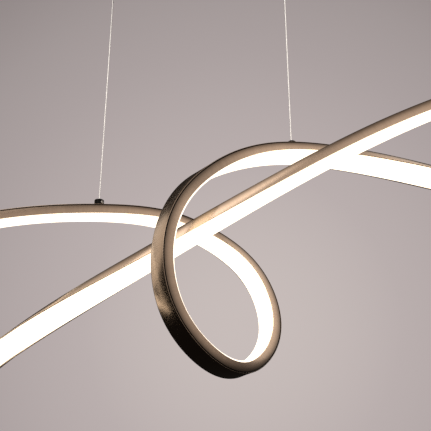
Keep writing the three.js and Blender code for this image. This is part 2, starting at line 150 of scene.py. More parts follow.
def turned(profile, sides):
    """A piece turned about z from (radius, height) points, from axis to axis or closed on itself."""
    profile = [(r * MM, z * MM) for r, z in profile]
    on_axis = profile[0][0] == 0
    largest = max(r for r, z in profile)
    points, rings = [], []
    for r, z in profile:
        if r == 0:
            rings.append([len(points)] * sides)
            points.append((0, 0, z))
            continue
        rings.append(list(range(len(points), len(points) + sides)))
        points += [(*polar(r, 2 * math.pi * k / sides), z) for k in range(sides)]
    if not on_axis:
        rings.append(rings[0])
        profile = [*profile, profile[0]]
    faces, uvs = [], []
    along = 0
    for i in range(len(rings) - 1):
        step = math.dist(profile[i], profile[i + 1])
        for k in range(sides):
            n = (k + 1) % sides
            corners = [rings[i][k], rings[i][n], rings[i + 1][n], rings[i + 1][k]]
            u0, u1 = (2 * math.pi * largest * j / sides for j in (k, k + 1))
            marks = [(u0, along), (u1, along), (u1, along + step), (u0, along + step)]
            kept = [j for j in range(4) if corners[j] not in corners[:j]]
            if len(kept) > 2:
                faces.append([corners[j] for j in kept])
                uvs.append([marks[j] for j in kept])
        along += step
    return points, faces, uvs


def block(low, high, bevel=0.0, segments=2):
    """A box between two corners, with rounded edges."""
    mesh = bmesh.new()
    bmesh.ops.create_cube(mesh, size=1)
    for vertex in mesh.verts:
        vertex.co = [(low[k] if vertex.co[k] < 0 else high[k]) * MM for k in range(3)]
    if bevel:
        bmesh.ops.bevel(
            mesh, geom=mesh.edges[:], offset=bevel * MM, segments=segments, affect="EDGES", profile=0.5)
    points = [tuple(v.co) for v in mesh.verts]
    faces = [[v.index for v in f.verts] for f in mesh.faces]
    mesh.free()
    return points, faces, [[(0, 0)] * len(face) for face in faces]


def rod(radius, low, high, sides=40, at=(0.0, 0.0)):
    """A plain rod along z, mostly to cut a hole with."""
    return placed(turned([(0, low), (radius, low), (radius, high), (0, high)], sides), moved(*at))


def round_bar(points, radius, sides):
    """A round bar along a smooth line of points."""
    at = np.array(points) * MM
    run = np.gradient(at, axis=0)
    run /= np.linalg.norm(run, axis=1)[:, None]
    across = np.zeros_like(at)
    side = np.cross(run[0], (0, 0, 1) if abs(run[0][2]) < 0.9 else (1, 0, 0))
    for i, direction in enumerate(run):
        side = side - direction * np.dot(side, direction)
        side /= np.linalg.norm(side)
        across[i] = side
    section = [polar(radius * MM, 2 * math.pi * k / sides) for k in range(sides)]
    return swept(section, at, across, np.cross(run, across), lengths_along(at))


def lengths_along(at):
    """The length of the line from its first point to each point."""
    return np.concatenate([[0], np.cumsum(np.linalg.norm(np.diff(at, axis=0), axis=1))])


def smooth_line(points, steps):
    """Points along a Catmull-Rom curve through a few chosen ones."""
    padded = [2 * Vector(points[0]) - Vector(points[1]), *map(Vector, points)]
    padded.append(2 * Vector(points[-1]) - Vector(points[-2]))
    line = []
    for i in range(1, len(padded) - 2):
        p, q, r, s = padded[i - 1 : i + 3]
        for k in range(steps):
            t = k / steps
            line.append(0.5 * (
                2 * q + (r - p) * t + (2 * p - 5 * q + 4 * r - s) * t**2 + (3 * q - p - 3 * r + s) * t**3))
    return [tuple(p) for p in (*line, padded[-2])]


def rounded(corners, radius, steps=4):
    """A closed outline with each corner rounded. A corner is (a, b) or (a, b, own radius)."""
    outline = []
    count = len(corners)
    for i, corner in enumerate(corners):
        here = Vector(corner[:2])
        size = corner[2] if len(corner) > 2 else radius
        before = (Vector(corners[i - 1][:2]) - here).normalized()
        after = (Vector(corners[(i + 1) % count][:2]) - here).normalized()
        if size == 0:
            outline.append(tuple(here))
            continue
        start, end = here + before * size, here + after * size
        for k in range(steps + 1):
            t = k / steps
            outline.append(tuple(start * (1 - t) ** 2 + here * 2 * t * (1 - t) + end * t**2))
    return outline


# ---- Pieces ----

UV_NAME = "Surface"


def mesh_of(name, shape):
    """A mesh of a shape, with its uv map, and with its faces turned outwards."""
    points, faces, uvs = shape
    mesh = bpy.data.meshes.new(name)
    mesh.from_pydata(points, [], faces)
    layer = mesh.uv_layers.new(name=UV_NAME)
    layer.data.foreach_set("uv", np.array([c for face in uvs for c in face], np.float32).ravel())
    outwards = bmesh.new()
    outwards.from_mesh(mesh)
    bmesh.ops.recalc_face_normals(outwards, faces=outwards.faces)
    outwards.to_mesh(mesh)
    outwards.free()
    return mesh


def add_piece(name, shape, materials, body, node, sharp=30, kinds=None):
    """Links a shape as a piece on a body, for a CAD node. kinds is each face's material number."""
    mesh = mesh_of(name, shape)
    for material in materials:
        mesh.materials.append(material)
    if kinds:
        mesh.polygons.foreach_set("material_index", kinds)
    mesh.polygons.foreach_set("use_smooth", [True] * len(mesh.polygons))
    mesh.set_sharp_from_angle(angle=math.radians(sharp))
    piece = add_object(name, mesh)
    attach(piece, body)
    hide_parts(node)
    return piece


def add_part(name, node, finish, shape, put=None, body="canopy"):
    """A piece in the material of one finish, which is a material and its slot; the slot is not used. put is
    where the shape goes.
    """
    material, slot = finish
    return add_piece(name, placed(shape, put) if put else shape, [material], body, node)


def carved(shape, cutters):
    """The shape with the cutters taken out of it."""
    whole = add_object("whole", mesh_of("whole", shape))
    for cutter in cutters:
        modifier = whole.modifiers.new("cut", "BOOLEAN")
        modifier.object = add_object("cutter", mesh_of("cutter", cutter))
        modifier.operation = "DIFFERENCE"
        modifier.solver = "EXACT"
    graph = bpy.context.evaluated_depsgraph_get()
    mesh = bpy.data.meshes.new_from_object(whole.evaluated_get(graph))
    points = [tuple(v.co) for v in mesh.vertices]
    faces = [list(p.vertices) for p in mesh.polygons]
    layer = mesh.uv_layers[UV_NAME].data
    uvs = [[tuple(layer[i].uv) for i in p.loop_indices] for p in mesh.polygons]
    for modifier in whole.modifiers:
        bpy.data.objects.remove(modifier.object)
    bpy.data.objects.remove(whole)
    return points, faces, uvs


# ---- Materials ----


class Nodes:
    """Short ways to add nodes to a node tree."""

    def __init__(self, tree):
        self.tree = tree

    def link(self, source, target):
        self.tree.links.new(source, target)

    def node(self, kind, inputs=(), **settings):
        """A shader node with its settings. An input is a value or another node's output."""
        made = self.tree.nodes.new("ShaderNode" + kind)
        for key, value in settings.items():
            setattr(made, key, value)
        for key, value in dict(inputs).items():
            if isinstance(value, bpy.types.NodeSocket):
                self.link(value, made.inputs[key])
            else:
                made.inputs[key].default_value = value
        return made

    def ramp(self, value, stops):
        """stops are (position, colour) with a linear colour."""
        ramp = self.node("ValToRGB", {"Fac": value})
        elements = ramp.color_ramp.elements
        for element, (position, colour) in zip((elements[0], elements[1]), (stops[0], stops[-1])):
            element.position = position
            element.color = (*colour, 1)
        for position, colour in stops[1:-1]:
            elements.new(position).color = (*colour, 1)
        return ramp.outputs["Color"]

    def math(self, operation, first, second):
        return self.node("Math", {0: first, 1: second}, operation=operation).outputs["Value"]

    def mixture(self, *parts):
        """The sum of values, each times its own weight."""
        total, *others = [self.math("MULTIPLY", value, weight) for value, weight in parts]
        for other in others:
            total = self.math("ADD", total, other)
        return total

    def span(self, value, low, high, start=0.3, end=0.7):
        """Carries the range start to end of a value over to low to high."""
        ends = {"From Min": start, "From Max": end, "To Min": low, "To Max": high}
        return self.node("MapRange", {"Value": value, **ends}).outputs["Result"]


class Surface(Nodes):
    """A material with one Principled shader, and the nodes that drive it."""

    def __init__(self, name, **values):
        self.material = bpy.data.materials.new(name)
        self.material.use_nodes = True
        super().__init__(self.material.node_tree)
        self.shader = self.tree.nodes["Principled BSDF"]
        for socket, value in values.items():
            self.shader.inputs[socket.replace("_", " ")].default_value = value

    def place(self, scale, uv=False):
        """Surface coordinates in metres times scale, from the object's space or from the UV map."""
        if uv:
            source = self.node("UVMap", uv_map=UV_NAME).outputs["UV"]
        else:
            source = self.node("TexCoord").outputs["Object"]
        return self.node("Mapping", {"Vector": source, "Scale": scale}).outputs["Vector"]

    def noise(self, scale, detail=2.0, roughness=0.5, uv=False):
        """Cloudy noise. scale is the number of its cells per metre along each axis."""
        looks = {"Scale": 1.0, "Detail": detail, "Roughness": roughness}
        return self.node("TexNoise", {"Vector": self.place(scale, uv), **looks}).outputs["Fac"]

    def colour(self, source):
        self.link(source, self.shader.inputs["Base Color"])

    def tint(self, value, dark, light, start=0.3, end=0.7):
        self.colour(self.ramp(value, [(start, dark), (end, light)]))

    def roughness(self, value, low, high, *ends):
        self.link(self.span(value, low, high, *ends), self.shader.inputs["Roughness"])

    def bump(self, height, strength, distance):
        bump = self.node("Bump", {"Height": height, "Strength": strength, "Distance": distance})
        self.link(bump.outputs["Normal"], self.shader.inputs["Normal"])


def brushed_metal(name, dark, light, grain, rough, anisotropic, strength, contrast, painted_shade_and_glow=None):
    """Anodised metal with fine brush lines. grain is the (u, v) number of noise cells per metre.

    painted_shade_and_glow is a list of (v coordinate either way in metres, share of the colour that is left
    there); it paints shade and glow into the colour across the section.
    """
    surface = Surface(name, Metallic=1.0, Anisotropic=anisotropic)
    fine = surface.noise((grain[0], grain[1], 1), 4, 0.65, uv=True)
    streaks = surface.noise((grain[0] * 0.16, grain[1] * 0.5, 1), uv=True)
    clouds = surface.noise((38, 38, 1), 3, uv=True)
    mixed = surface.mixture((fine, 0.5), (streaks, 0.25), (clouds, 0.25))
    surface.roughness(mixed, rough[1], rough[0])
    colour = surface.ramp(surface.span(mixed, 0.5 - contrast, 0.5 + contrast), [(0.3, dark), (0.7, light)])
    # Painted light: the colour darkens towards the back and lightens towards the rim, across the section.
    if painted_shade_and_glow:
        reach = painted_shade_and_glow[-1][0]
        parts = surface.node("SeparateXYZ", {"Vector": surface.place((1, 1, 1), uv=True)})
        away = surface.math("ABSOLUTE", parts.outputs["Y"], 0)
        away = surface.math("MULTIPLY", away, 1 / reach)
        shade = surface.ramp(away, [(place / reach, (share,) * 3) for place, share in painted_shade_and_glow])
        shaded = surface.node("VectorMath", {0: colour, 1: shade}, operation="MULTIPLY")
        colour = shaded.outputs["Vector"]
    surface.colour(colour)
    surface.bump(fine, strength, 0.00006)
    tangent = surface.node("Tangent", direction_type="UV_MAP", uv_map=UV_NAME)
    surface.link(tangent.outputs["Tangent"], surface.shader.inputs["Tangent"])
    return surface.material


def turned_metal(name, dark, light, rough):
    """Plated steel with fine turning lines round z and a few dull spots."""
    surface = Surface(name, Metallic=1.0)
    lines = surface.noise((300, 300, 9000), 3)
    dull = surface.noise((420,) * 3)
    mixed = surface.mixture((lines, 0.5), (dull, 0.5))
    surface.tint(mixed, dark, light, 0.35, 0.65)
    surface.roughness(mixed, rough[1], rough[0])
    surface.bump(lines, 0.2, 0.00004)
    return surface.material


def zinc_sheet():
    """Zinc-plated sheet: faint spangle cells, rolled streaks and dull patches."""
    surface = Surface("zinc_sheet", Metallic=1.0)
    spangle = surface.node("TexVoronoi", {"Vector": surface.place((260,) * 3), "Scale": 1.0})
    shade = surface.node("SeparateColor", {"Color": spangle.outputs["Color"]})
    streaks = surface.noise((25, 900, 25), 3)
    mixed = surface.mixture((shade.outputs["Red"], 0.5), (streaks, 0.5))
    surface.tint(mixed, (0.42, 0.43, 0.44), (0.6, 0.6, 0.59), 0.2, 0.8)
    surface.roughness(mixed, 0.32, 0.52, 0.2, 0.8)
    surface.bump(streaks, 0.15, 0.00005)
    return surface.material


def moulded_plastic(name, dark, light, rough, grain=2600, strength=0.25, shine=0.5):
    """Moulded plastic with a spark-eroded grain and slight unevenness of colour."""
    surface = Surface(name, Specular_IOR_Level=shine)
    pits = surface.noise((grain,) * 3, 3, 0.6)
    clouds = surface.noise((90,) * 3)
    surface.tint(clouds, dark, light)
    surface.roughness(pits, rough[0], rough[1])
    surface.bump(pits, strength, 0.00008)
    return surface.material


def opal(name, strength, glow):
    """Satin opal silicone, lit from inside."""
    surface = Surface(name, Emission_Strength=strength, Emission_Color=(*glow, 1), IOR=1.42)
    haze = surface.noise((900,) * 3, 3)
    clouds = surface.noise((60,) * 3)
    surface.tint(clouds, (0.82, 0.79, 0.72), (0.88, 0.86, 0.8))
    surface.roughness(haze, 0.42, 0.55)
    surface.bump(haze, 0.1, 0.00005)
    return surface.material


def circuit(name, mask, mask_dark, pad, cell):
    """Solder mask with printed tracks and tinned pads in a grid of cells per metre."""
    surface = Surface(name)
    tracks = surface.node("TexBrick", {
        "Vector": surface.place((cell,) * 3), "Scale": 1.0, "Mortar Size": 0.06,
        "Color1": (*mask, 1), "Color2": (*mask_dark, 1), "Mortar": (*pad, 1)})
    surface.colour(tracks.outputs["Color"])
    surface.roughness(surface.noise((cell,) * 3, 3), 0.3, 0.5)
    surface.bump(tracks.outputs["Fac"], 0.3, 0.00005)
    return surface.material


# Painted light on the channel: a darker back face, a near-black line at the back edges, and sides that
# lighten towards the rim as if lit by the diffuser.
bronze = brushed_metal(
    "bronze", dark=(0.28, 0.21, 0.158), light=(0.826, 0.655, 0.518), grain=(2300, 70), rough=(0.21, 0.25),
    anisotropic=0.3, strength=0.03, contrast=0.06,
    painted_shade_and_glow=[
        (0.0, 0.57), (0.0103, 0.57), (0.0107, 0.05), (0.012, 0.12), (0.014, 0.35), (0.016, 0.62),
        (0.018, 0.83), (0.0215, 1.0)])
# Painted light: a paler bronze for the rims next to the diffuser, standing in for its glow on them.
bronze_painted_rim_glow = brushed_metal(
    "bronze_painted_rim_glow", dark=(0.6, 0.5, 0.4), light=(0.9, 0.78, 0.64), grain=(2300, 400), rough=(0.4, 0.5),
    anisotropic=0.0, strength=0.03, contrast=0.1)
bronze_spun = brushed_metal(
    "bronze_spun", dark=(0.2, 0.155, 0.115), light=(0.58, 0.475, 0.37), grain=(12, 2600), rough=(0.22, 0.3),
    anisotropic=0.4, strength=0.12, contrast=0.12)
opal_lit = opal("opal_lit", 1.9, (1.0, 0.85, 0.66))
opal_edge = opal("opal_edge", 1.9, (1.0, 0.87, 0.7))
opal_plain = opal("opal_plain", 0.0, (1.0, 0.82, 0.6))
strand_steel = turned_metal("strand_steel", (0.84, 0.88, 0.93), (0.92, 0.95, 0.98), (0.24, 0.34))
bright_steel = turned_metal("bright_steel", (0.45, 0.45, 0.44), (0.7, 0.69, 0.67), (0.16, 0.32))
brass = turned_metal("brass", (0.52, 0.36, 0.13), (0.75, 0.56, 0.25), (0.22, 0.4))
copper = turned_metal("copper", (0.5, 0.24, 0.13), (0.78, 0.42, 0.26), (0.2, 0.38))
zinc = zinc_sheet()
# Black nylon of the grippers; on the channel it also paints the groove black as shade.
black_nylon_and_groove_shade = moulded_plastic(
    "black_nylon_and_groove_shade", (0.002, 0.002, 0.002), (0.006, 0.006, 0.006), (0.28, 0.42), strength=0.1, shine=0.1)
white_nylon = moulded_plastic("white_nylon", (0.66, 0.65, 0.6), (0.76, 0.75, 0.71), (0.35, 0.5))
black_cover = moulded_plastic("black_cover", (0.01, 0.01, 0.01), (0.02, 0.02, 0.02), (0.4, 0.55), 1800)
white_cover = moulded_plastic("white_cover", (0.62, 0.6, 0.55), (0.72, 0.7, 0.65), (0.42, 0.56), 1800)
black_part = moulded_plastic("black_part", (0.012, 0.012, 0.013), (0.03, 0.03, 0.032), (0.3, 0.5))
white_board = circuit("white_board", (0.78, 0.77, 0.73), (0.74, 0.73, 0.7), (0.6, 0.45, 0.25), 120)
green_board = circuit("green_board", (0.02, 0.12, 0.05), (0.015, 0.09, 0.04), (0.1, 0.22, 0.08), 240)
phosphor = moulded_plastic("phosphor", (0.72, 0.5, 0.08), (0.8, 0.6, 0.14), (0.3, 0.45))

# A finish is a material and the slot that it belongs to
NYLON, WHITE = (black_nylon_and_groove_shade, "black_plastic"), (white_nylon, "white_plastic")
STEEL, SPRING_STEEL = (bright_steel, "bright_steel"), (strand_steel, "wire_steel")

# ---- Ribbon ----

RIBBON_LEVEL = -400.0
STATIONS = np.array([  # x, y, height above RIBBON_LEVEL and the width's direction, in millimetres
    # left hump, where the left wire holds the ribbon
    (-91, 42, 1, 0, 1, 0.1), (-37, 52, 0, -0.1, 1, -0.1),
    # down the back of the curl
    (0, 58, -11, -0.3, 0.9, -0.3), (61, 59, -52, -0.5, 0.7, -0.5), (82, 49, -127, -0.6, 0.7, -0.3),
    (54, 6, -180, -0.7, 0.7, -0.1), (23, -48, -194, -0.8, 0.6, 0.1),
    # up the front of the curl
    (-14, -89, -166, -0.6, 0.8, 0.1), (-25, -98, -113, -0.5, 0.9, 0.1), (-16, -81, -57, -0.5, 0.8, 0.1),
    (10, -59, -10, -0.7, 0.6, 0),
    # over the top of the curl, where the right wire holds the ribbon
    (69, -40, 23, -0.3, 1, -0.2), (140, -32, 20, -0.2, 0.9, -0.4), (227, -28, 0, -0.2, 0.7, -0.7),
    # right lobe
    (312, -17, -21, -0.1, 0.3, -0.9), (390, 2, -45, 0, -0.2, -1), (470, 18, -47, 0.2, -0.7, -0.7),
    (528, 18, 0, 0.2, -0.9, -0.3), (524, 0, 67, 0.1, -1, -0.1), (456, -30, 110, 0.1, -1, -0.1),
    (367, -56, 107, 0.1, -1, -0.1),
    # straight strand through the curl
    (268, -75, 67, 0.1, -1, -0.1), (163, -81, 16, 0, -1, 0.1), (57, -64, -40, 0.2, -1, 0.2),
    (-49, -22, -89, -0.4, -0.9, 0.2), (-158, -4, -152, -0.6, -0.4, 0.7), (-248, 14, -227, -0.6, 0.2, 0.8),
    # left lobe
    (-324, 51, -290, 0, 0.8, 0.6), (-408, 75, -313, 0.1, 1, 0.1), (-484, 95, -275, 0.1, 1, 0),
    (-513, 110, -195, 0, 1, 0), (-480, 108, -110, 0, 1, 0), (-403, 86, -55, 0, 1, 0.1),
    (-303, 60, -24, 0, 1, 0.1), (-189, 41, -3, 0, 1, 0.1),
])
SEAMS = {"left_top": 33.5, "right_bottom": 14.5, "right_top": 20.6, "left_bottom": 26.7}
ANCHOR_PLACES = {"left": 0.03, "right": 11.36}
RUNS = {
    "curl": ("left_top", "right_bottom"), "right_lobe": ("right_bottom", "right_top"),
    "strand": ("right_top", "left_bottom"), "left_lobe": ("left_bottom", "left_top")}
SEAM_GAP = 0.3
FINE_STEP = 2.5  # length of one facet along the ribbon
SAMPLES = 60  # points per station for measuring the ribbon's length

# Channel section, in millimetres: a is across the ribbon, b points out of the light face
HALF_WIDTH, BACK, RIM, FACE = 10.75, -4.9, 4.9, 6.5
WALL, BED, INSIDE = 1.2, -3.5, 9.25
GROOVE_LOW, GROOVE_HIGH, GROOVE_DEPTH = -4.4, -3.3, 0.8
DIFFUSER_FOOT, DIFFUSER_SKIN = 1.1, 1.2
BRIGHT_HALF = 8.6
GROOVE_SIDES = 3  # sides of the section that are the groove's
RIM_BAND, EDGE_BAND = 0.4, 0.9  # height of the rim painted paler as if lit by the diffuser, width of the diffuser's edge
STRIP_HALF, STRIP_LOW, STRIP_TOP, STRIP_STEP = 5.5, -2.6, -2.1, 6
LED_PITCH, RESISTOR_EVERY = 8.33, 3


def stations_at(places):
    """Centre, run, width and light direction at places along STATIONS, in millimetres."""
    places = np.asarray(places, float)
    first = np.floor(places).astype(int)
    s = (places - first)[:, None]
    weights = [(1 - s) ** 3, 3 * s**3 - 6 * s**2 + 4, -3 * s**3 + 3 * s**2 + 3 * s + 1, s**3]
    slopes = [-((1 - s) ** 2), 3 * s**2 - 4 * s, -3 * s**2 + 2 * s + 1, s**2]
    rows = [STATIONS[(first - 1 + k) % len(STATIONS)] for k in range(4)]
    at = sum(w * r[:, :3] for w, r in zip(weights, rows)) / 6 + (0, 0, RIBBON_LEVEL)
    run = sum(w * r[:, :3] for w, r in zip(slopes, rows))
    run /= np.linalg.norm(run, axis=1)[:, None]
    width = sum(w * r[:, 3:] for w, r in zip(weights, rows))
    width -= run * np.sum(run * width, axis=1)[:, None]
    width /= np.linalg.norm(width, axis=1)[:, None]
    return at, run, width, np.cross(width, run)


def shifted(place, length):
    """A place that is a short length further along the ribbon."""
    reach = 0.01
    here, there = stations_at([place, place + reach])[0]
    return place + length * reach / np.linalg.norm(there - here)


def even_places(start, end, step):
    """Places of equal spacing from start to end, with their lengths along the ribbon."""
    if end < start:
        end += len(STATIONS)
    places = np.linspace(start, end, int((end - start) * SAMPLES))
    at = stations_at(places)[0]
    lengths = lengths_along(at)
    wanted = np.linspace(0, lengths[-1], max(2, round(lengths[-1] / step) + 1))
    return np.interp(wanted, lengths, places), wanted


def ribbon_shape(section, start, end, step=FINE_STEP):
    places, lengths = even_places(start, end, step)
    at, _, width, light = stations_at(places)
    section = np.array(section) * MM
    return swept(section, at * MM, width, light, lengths * MM)


def channel_section():
    """A U with soft rims. One side has a groove next to the back, where the back strip is let in."""
    side, wall = HALF_WIDTH, HALF_WIDTH - WALL
    groove = GROOVE_DEPTH - side
    return rounded(
        [(-wall, BED, 0.3), (-wall, RIM, 0.15), (-side, RIM, 0.35), (-side, GROOVE_HIGH, 0.12),
         (groove, GROOVE_HIGH, 0), (groove, GROOVE_LOW, 0), (-side, GROOVE_LOW, 0.1), (-side, BACK, 0.4),
         (side, BACK, 0.4), (side, RIM, 0.35), (wall, RIM, 0.15), (wall, BED, 0.3)],
        0.2, steps=3)


def diffuser_section():
    """A flat-topped cap whose legs stand between the channel's walls."""
    inner, under, foot = INSIDE - DIFFUSER_SKIN, FACE - DIFFUSER_SKIN, DIFFUSER_FOOT
    return rounded(
        [(-INSIDE, foot, 0.2), (-INSIDE, FACE, 0.75), (INSIDE, FACE, 0.75), (INSIDE, foot, 0.2),
         (inner, foot, 0.2), (inner, under, 0.4), (-inner, under, 0.4), (-inner, foot, 0.2)],
        0.2, steps=4)


def run_ends(run):
    """Where a run of the ribbon starts and ends, each half a gap inside its seam."""
    start, end = RUNS[run]
    return shifted(SEAMS[start], SEAM_GAP / 2), shifted(SEAMS[end], -SEAM_GAP / 2)


def add_ribbon_parts(name, node, section, kinds, end_kind, materials):
    """A piece on each run. kinds is the number of the material for each side of the section."""
    for run in RUNS:
        shape = ribbon_shape(section, *run_ends(run))
        rings = (len(shape[1]) - 2) // len(section)
        add_piece(
            f"{name}_{run}", shape, materials, "light", f"{node}_{run}",
            kinds=kinds * rings + [end_kind] * 2)


def add_channels():
    """Bent channels, with the groove painted black as shade and the rims painted a little paler as if lit by
    the diffuser.
    """
    section = channel_section()
    bottom = (-HALF_WIDTH + GROOVE_DEPTH, GROOVE_HIGH)
    first = min(range(len(section)), key=lambda k: math.dist(section[k], bottom)) - 1
    kinds = []
    for k, (_, b) in enumerate(section):
        next_b = section[(k + 1) % len(section)][1]
        # Painted shade: the groove's faces get the black material. Painted glow: the rim band gets the paler
        # bronze.
        if first <= k < first + GROOVE_SIDES:
            kinds.append(1)
        elif min(b, next_b) > RIM - RIM_BAND:
            kinds.append(2)
        else:
            kinds.append(0)
    add_ribbon_parts(
        "ribbon_channel", "channel", section, kinds, 0, [bronze, black_nylon_and_groove_shade, bronze_painted_rim_glow])


def add_diffusers():
    """The face glows, its proud edges glow softer, and the parts inside the channel don't."""
    section = diffuser_section()
    kinds = []
    for k, (a, b) in enumerate(section):
        next_a, next_b = section[(k + 1) % len(section)]
        middle_a, middle_b = abs(a + next_a) / 2, (b + next_b) / 2
        flat = middle_b > FACE - 0.01 and middle_a < BRIGHT_HALF
        corner = middle_b > FACE - EDGE_BAND and middle_a > INSIDE - EDGE_BAND
        proud = middle_a > INSIDE - 0.01 and middle_b > DIFFUSER_FOOT + 1
        kinds.append(0 if flat else 1 if corner or proud else 2)
    add_ribbon_parts(
        "ribbon_diffuser", "diffuser", section, kinds, 2, [opal_lit, opal_edge, opal_plain])


def add_led_strips():
    """A white flexible circuit with a row of LED packages and a chip resistor beside every third."""
    low, high = STRIP_LOW, STRIP_TOP
    base = rounded([(-STRIP_HALF, low), (-STRIP_HALF, high), (STRIP_HALF, high), (STRIP_HALF, low)], 0.1, 1)
    package = block((-1.4, -1.75, high), (1.4, 1.75, high + 0.55), 0.12, 1)
    lens = block((-1, -1.3, high + 0.5), (1, 1.3, high + 0.66), 0.05, 1)
    resistor = block((2.4, 2, high), (4, 2.8, high + 0.45), 0.08, 1)
    for run in RUNS:
        start, end = run_ends(run)
        strip = ribbon_shape(base, start, end, STRIP_STEP)
        shapes, kinds = [strip], [0] * len(strip[1])
        places, _ = even_places(shifted(start, LED_PITCH), shifted(end, -LED_PITCH), LED_PITCH)
        for i, (at, along, width, light) in enumerate(zip(*stations_at(places))):
            stand = frame_of(along, width, light, at)
            chips = [(package, 1), (lens, 2)]
            if i % RESISTOR_EVERY == 0:
                chips.append((resistor, 3))
            for shape, kind in chips:
                shapes.append(placed(shape, stand))
                kinds += [kind] * len(shape[1])
        add_piece(
            f"led_circuit_{run}", joined(*shapes), [white_board, white_nylon, phosphor, black_part], "light",
            f"led_strip_{run}", kinds=kinds)


# ---- Suspension ----

# The wire, in metres
WIRE_RADIUS = 0.0006
LAY_LENGTH = 0.009  # length of one turn of the strands
WIRE_STEP = 0.0009
WIRE_STRANDS, POINTS_PER_STRAND = 6, 5
STRAND_DIP = 0.08  # depth of the dips between strands, as a share of the radius

# The gripper on the ribbon, in millimetres above the channel's back
ANCHOR_SCREW_TURN = math.radians(40)
ANCHOR_BASE_RADIUS, ANCHOR_BASE_LOW, ANCHOR_BASE_HIGH = 5.8, 0.3, 1.7
ANCHOR_RADIUS, ANCHOR_LOW, ANCHOR_HIGH = 4.9, 2.0, 8.5
ANCHOR_SCREW_LEVEL, ANCHOR_SCREW_BORE, ANCHOR_SOCKET = 4.95, 1.8, 0.85


def add_wires():
    """Six strands, as one lobed section that turns along the wire."""
    section = []
    for k in range(WIRE_STRANDS * POINTS_PER_STRAND):
        angle = 2 * math.pi * k / (WIRE_STRANDS * POINTS_PER_STRAND)
        swell = abs(math.cos(WIRE_STRANDS / 2 * angle))
        section.append(polar(WIRE_RADIUS * (1 - STRAND_DIP + STRAND_DIP * swell), angle))
    for side in ("left", "right"):
        low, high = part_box(f"wire_{side}")
        centre = (low + high) / 2
        heights = np.arange(high.z, low.z, -WIRE_STEP)
        heights = np.append(heights[:-1], low.z)
        at = np.array([(centre.x, centre.y, z) for z in heights])
        turn = 2 * math.pi * (high.z - heights) / LAY_LENGTH
        across = np.stack([np.cos(turn), np.sin(turn), 0 * turn], axis=1)
        out = np.stack([-np.sin(turn), np.cos(turn), 0 * turn], axis=1)
        wire = add_piece(
            f"stranded_wire_{side}", swept(section, at, across, out, high.z - heights),
            [strand_steel], "light", f"wire_{side}", sharp=60)


def add_anchors():
    """A black gripper on the channel's back: flange, barrel with a screw hole, socket set screw."""
    low, high, r = ANCHOR_BASE_LOW, ANCHOR_BASE_HIGH, ANCHOR_BASE_RADIUS
    flange = turned(
        [(0, low), (r - 0.2, low), (r, low + 0.2), (r, high - 0.5), (r - 0.5, high), (0, high)], 48)
    low, high, r = ANCHOR_LOW, ANCHOR_HIGH, ANCHOR_RADIUS
    barrel = turned(
        [(1.2, low), (r - 0.3, low), (r, low + 0.3), (r, high - 2.1), (r - 0.35, high - 1.95),
         (r - 0.35, high - 1.65), (r, high - 1.5), (r, high - 0.6), (r - 0.25, high - 0.15),
         (r - 0.8, high), (1.6, high), (1.2, high - 0.4)], 56)
    point = Matrix.Rotation(ANCHOR_SCREW_TURN, 4, "Z") @ Matrix.Rotation(math.pi / 2, 4, "X")
    point = moved(0, 0, ANCHOR_SCREW_LEVEL) @ point
    barrel = carved(barrel, [placed(rod(ANCHOR_SCREW_BORE, 1, r + 1, 32), point)])
    screw = turned([(0, 1.6), (1.0, 1.6), (1.5, 2.1), (1.5, r + 0.35), (1.25, r + 0.6), (0, r + 0.6)], 32)
    screw = placed(carved(screw, [rod(ANCHOR_SOCKET, r - 0.9, r + 1, 6)]), point)
    for side, place in ANCHOR_PLACES.items():
        (at,), _, (width,), (light,) = stations_at([place])
        stand = frame_of(np.cross(width, -light), width, -light, at + light * BACK)
        name = f"anchor_{side}"
        add_part(f"{name}_flange", f"{name}_base", NYLON, flange, stand, "light")
        add_part(f"{name}_body", f"{name}_barrel", NYLON, barrel, stand, "light")
        add_part(f"{name}_grub_screw", f"{name}_set_screw", STEEL, screw, stand, "light")


# ---- Canopy ----

# In millimetres, with heights from the ceiling
COVER_RADIUS, COVER_BOTTOM, COVER_RIM, COVER_SKIN, COVER_CORNER = 130.0, -32.0, -0.6, 1.6, 9.0
COVER_HOLE, SCREW_ANGLES = 8.0, (90, 210, 330)
SCREW_LEVEL, SCREW_SLOT_HALF, SCREW_HEAD_RADIUS, SCREW_SHANK_RADIUS = -9.0, 2.6, 5.0, 2.0
PLATE_RADIUS, PLATE_THICK = 118.0, 2.0
TAB_HALF, TAB_THICK, TAB_LOW, TAB_HOLE = 7.0, 2.5, -16.0, 2.3
STUD_RADIUS, STUD_LOW = 3.0, -11.0
CEILING_HOLE, CEILING_HOLE_AT = 2.6, (70, 55)
GROMMET_HOLE, GROMMET_AT = 9.0, (-30, 64)
SPRING_LOW, SPRING_HIGH, SPRING_RADIUS, SPRING_WIRE = -29.6, -15.2, 3.2, 0.33
SPRING_TURNS, POINTS_PER_TURN = 6, 20
SPRING_CLOSED = 0.12  # share of the coil at each end that lies flat
SPRING_INSET = 0.36  # from the spring's end to the middle of its wire
DRIVER_WALL = 2.0
EAR_OUT, EAR_LENGTH_HALF, EAR_WIDTH_HALF, EAR_THICK, EAR_HOLE = 4.5, 4.4, 7.0, 2.5, 1.9
TERMINAL_AT, TERMINAL_PITCH, TERMINAL_HALF = (22.0, 64.0), 11.0, 9.0
LEAD_RADIUS, LEAD_LEVEL, LEAD_GAP = 1.1, -9.0, 0.3
DRIVER_SIDE, DRIVER_END = 21.0, 60.0
GRIPPER_REACH, GRIPPER_LEAD_LEVEL = 9.0, -5.3


def arc(centre, radius, start, end, steps):
    """Points along an arc between two angles in degrees."""
    points = [polar(radius, math.radians(start + (end - start) * i / steps)) for i in range(steps + 1)]
    return [(centre[0] + x, centre[1] + y) for x, y in points]


